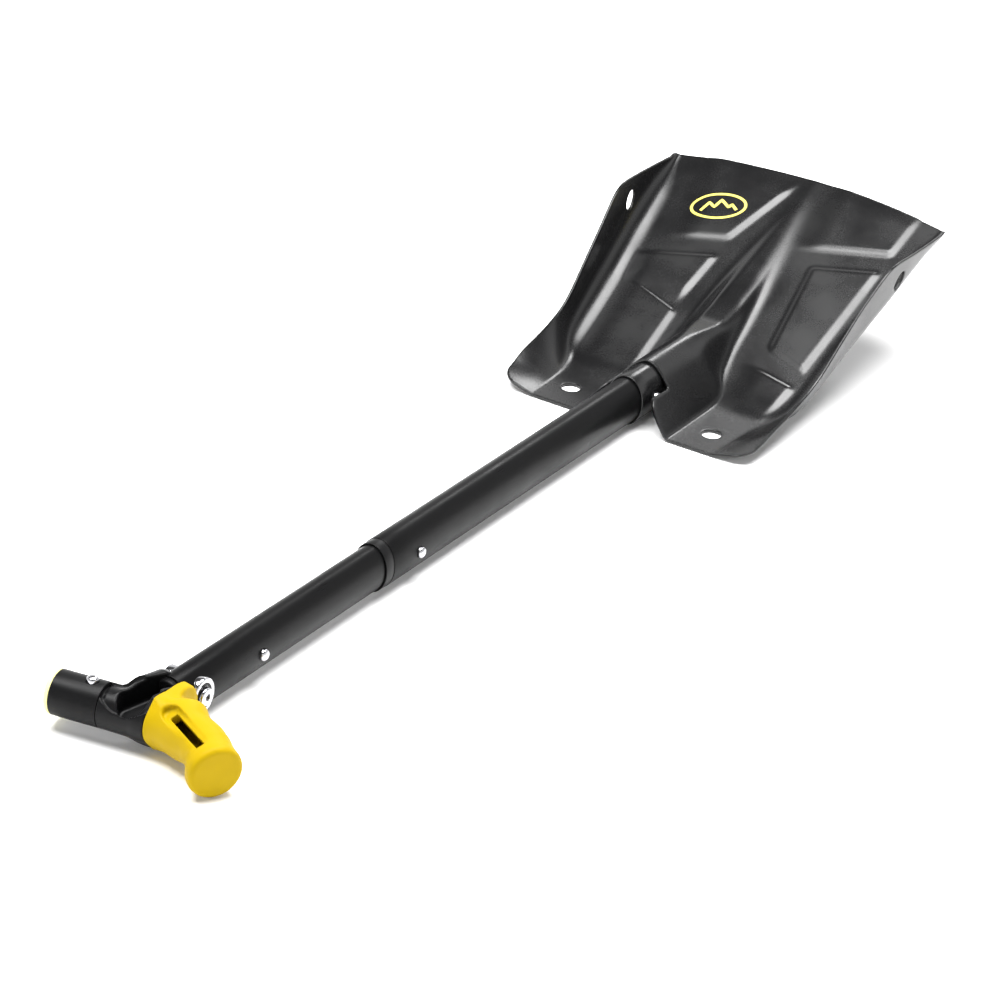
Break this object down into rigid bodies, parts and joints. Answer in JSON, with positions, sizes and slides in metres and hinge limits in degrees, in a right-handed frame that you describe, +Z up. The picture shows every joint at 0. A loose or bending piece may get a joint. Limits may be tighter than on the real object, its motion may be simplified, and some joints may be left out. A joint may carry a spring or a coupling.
{
  "type": "avalanche shovel",
  "caption": "Compact scoop shovel with a pull-off stamped blade, a telescopic oval shaft locked by spring buttons, and a T-grip with one swept arm.",
  "frame": {"origin": "on the ground under the middle of the assembled, extended shovel", "axes": "+X across the blade to the right seen from the grip, +Y along the shaft from the grip to the blade, +Z up, the scoop's open side"},
  "size_m": [0.242, 0.8956, 0.1072],
  "materials": {
    "black_blade": "black powder coat, satin to semi-gloss",
    "black_tube": "black anodised, satin",
    "black_plastic": "moulded nylon, fine grain, satin",
    "yellow_plastic": "moulded, smooth satin",
    "pale_yellow_plastic": "moulded, smooth satin",
    "white_plastic": "moulded, plain",
    "bright_steel": "polished stainless steel",
    "weld": "coated over with the blade"
  },
  "bodies": {
    "upper_shaft": {"upper_tube": "black_tube", "mouth_collar": "black_plastic", "upper_tube_plug": "black_plastic"},
    "blade_assembly": {"blade": "black_blade", "socket_tube": "black_tube", "weld_beads": "weld"},
    "lower_shaft": {"lower_tube": "black_tube", "lower_tube_guide": "black_plastic", "grip_body": "black_plastic", "yellow_grip": "yellow_plastic", "saddle_washers": "bright_steel", "grip_bolt": "bright_steel", "grip_nut": "bright_steel"},
    "left_end": {"left_grip_sleeve": "black_plastic", "left_end_cap": "pale_yellow_plastic"},
    "extend_button": {"snap_button_extend": "bright_steel"},
    "collapse_button": {"snap_button_collapse": "bright_steel"},
    "blade_button": {"snap_button_blade": "bright_steel"},
    "grip_button": {"snap_button_grip": "bright_steel"}
  },
  "joints": [
    {"name": "shaft_telescope", "type": "slide", "parent": "upper_shaft", "child": "lower_shaft", "axis": [0, 1, 0], "range_m": [0, 0.177], "deforming": ["snap_button_extend", "snap_button_collapse"]},
    {"name": "blade_release", "type": "slide", "parent": "upper_shaft", "child": "blade_assembly", "axis": [0, 1, 0], "range_m": [0, 0.08], "deforming": ["snap_button_blade"]},
    {"name": "left_end_release", "type": "slide", "parent": "lower_shaft", "child": "left_end", "axis": [-0.9848, -0.1736, 0], "range_m": [0, 0.03], "deforming": ["snap_button_grip"]},
    {"name": "extend_button_press", "type": "slide", "parent": "lower_shaft", "child": "extend_button", "axis": [-1, 0, 0], "range_m": [0, 0.0048], "stiffness_N_per_m": 900},
    {"name": "collapse_button_press", "type": "slide", "parent": "lower_shaft", "child": "collapse_button", "axis": [-1, 0, 0], "range_m": [0, 0.0048], "stiffness_N_per_m": 900},
    {"name": "blade_button_press", "type": "slide", "parent": "upper_shaft", "child": "blade_button", "axis": [-1, 0, 0], "range_m": [0, 0.0048], "stiffness_N_per_m": 900},
    {"name": "grip_button_press", "type": "slide", "parent": "lower_shaft", "child": "grip_button", "axis": [0, 0, -1], "range_m": [0, 0.0048], "stiffness_N_per_m": 900}
  ]
}
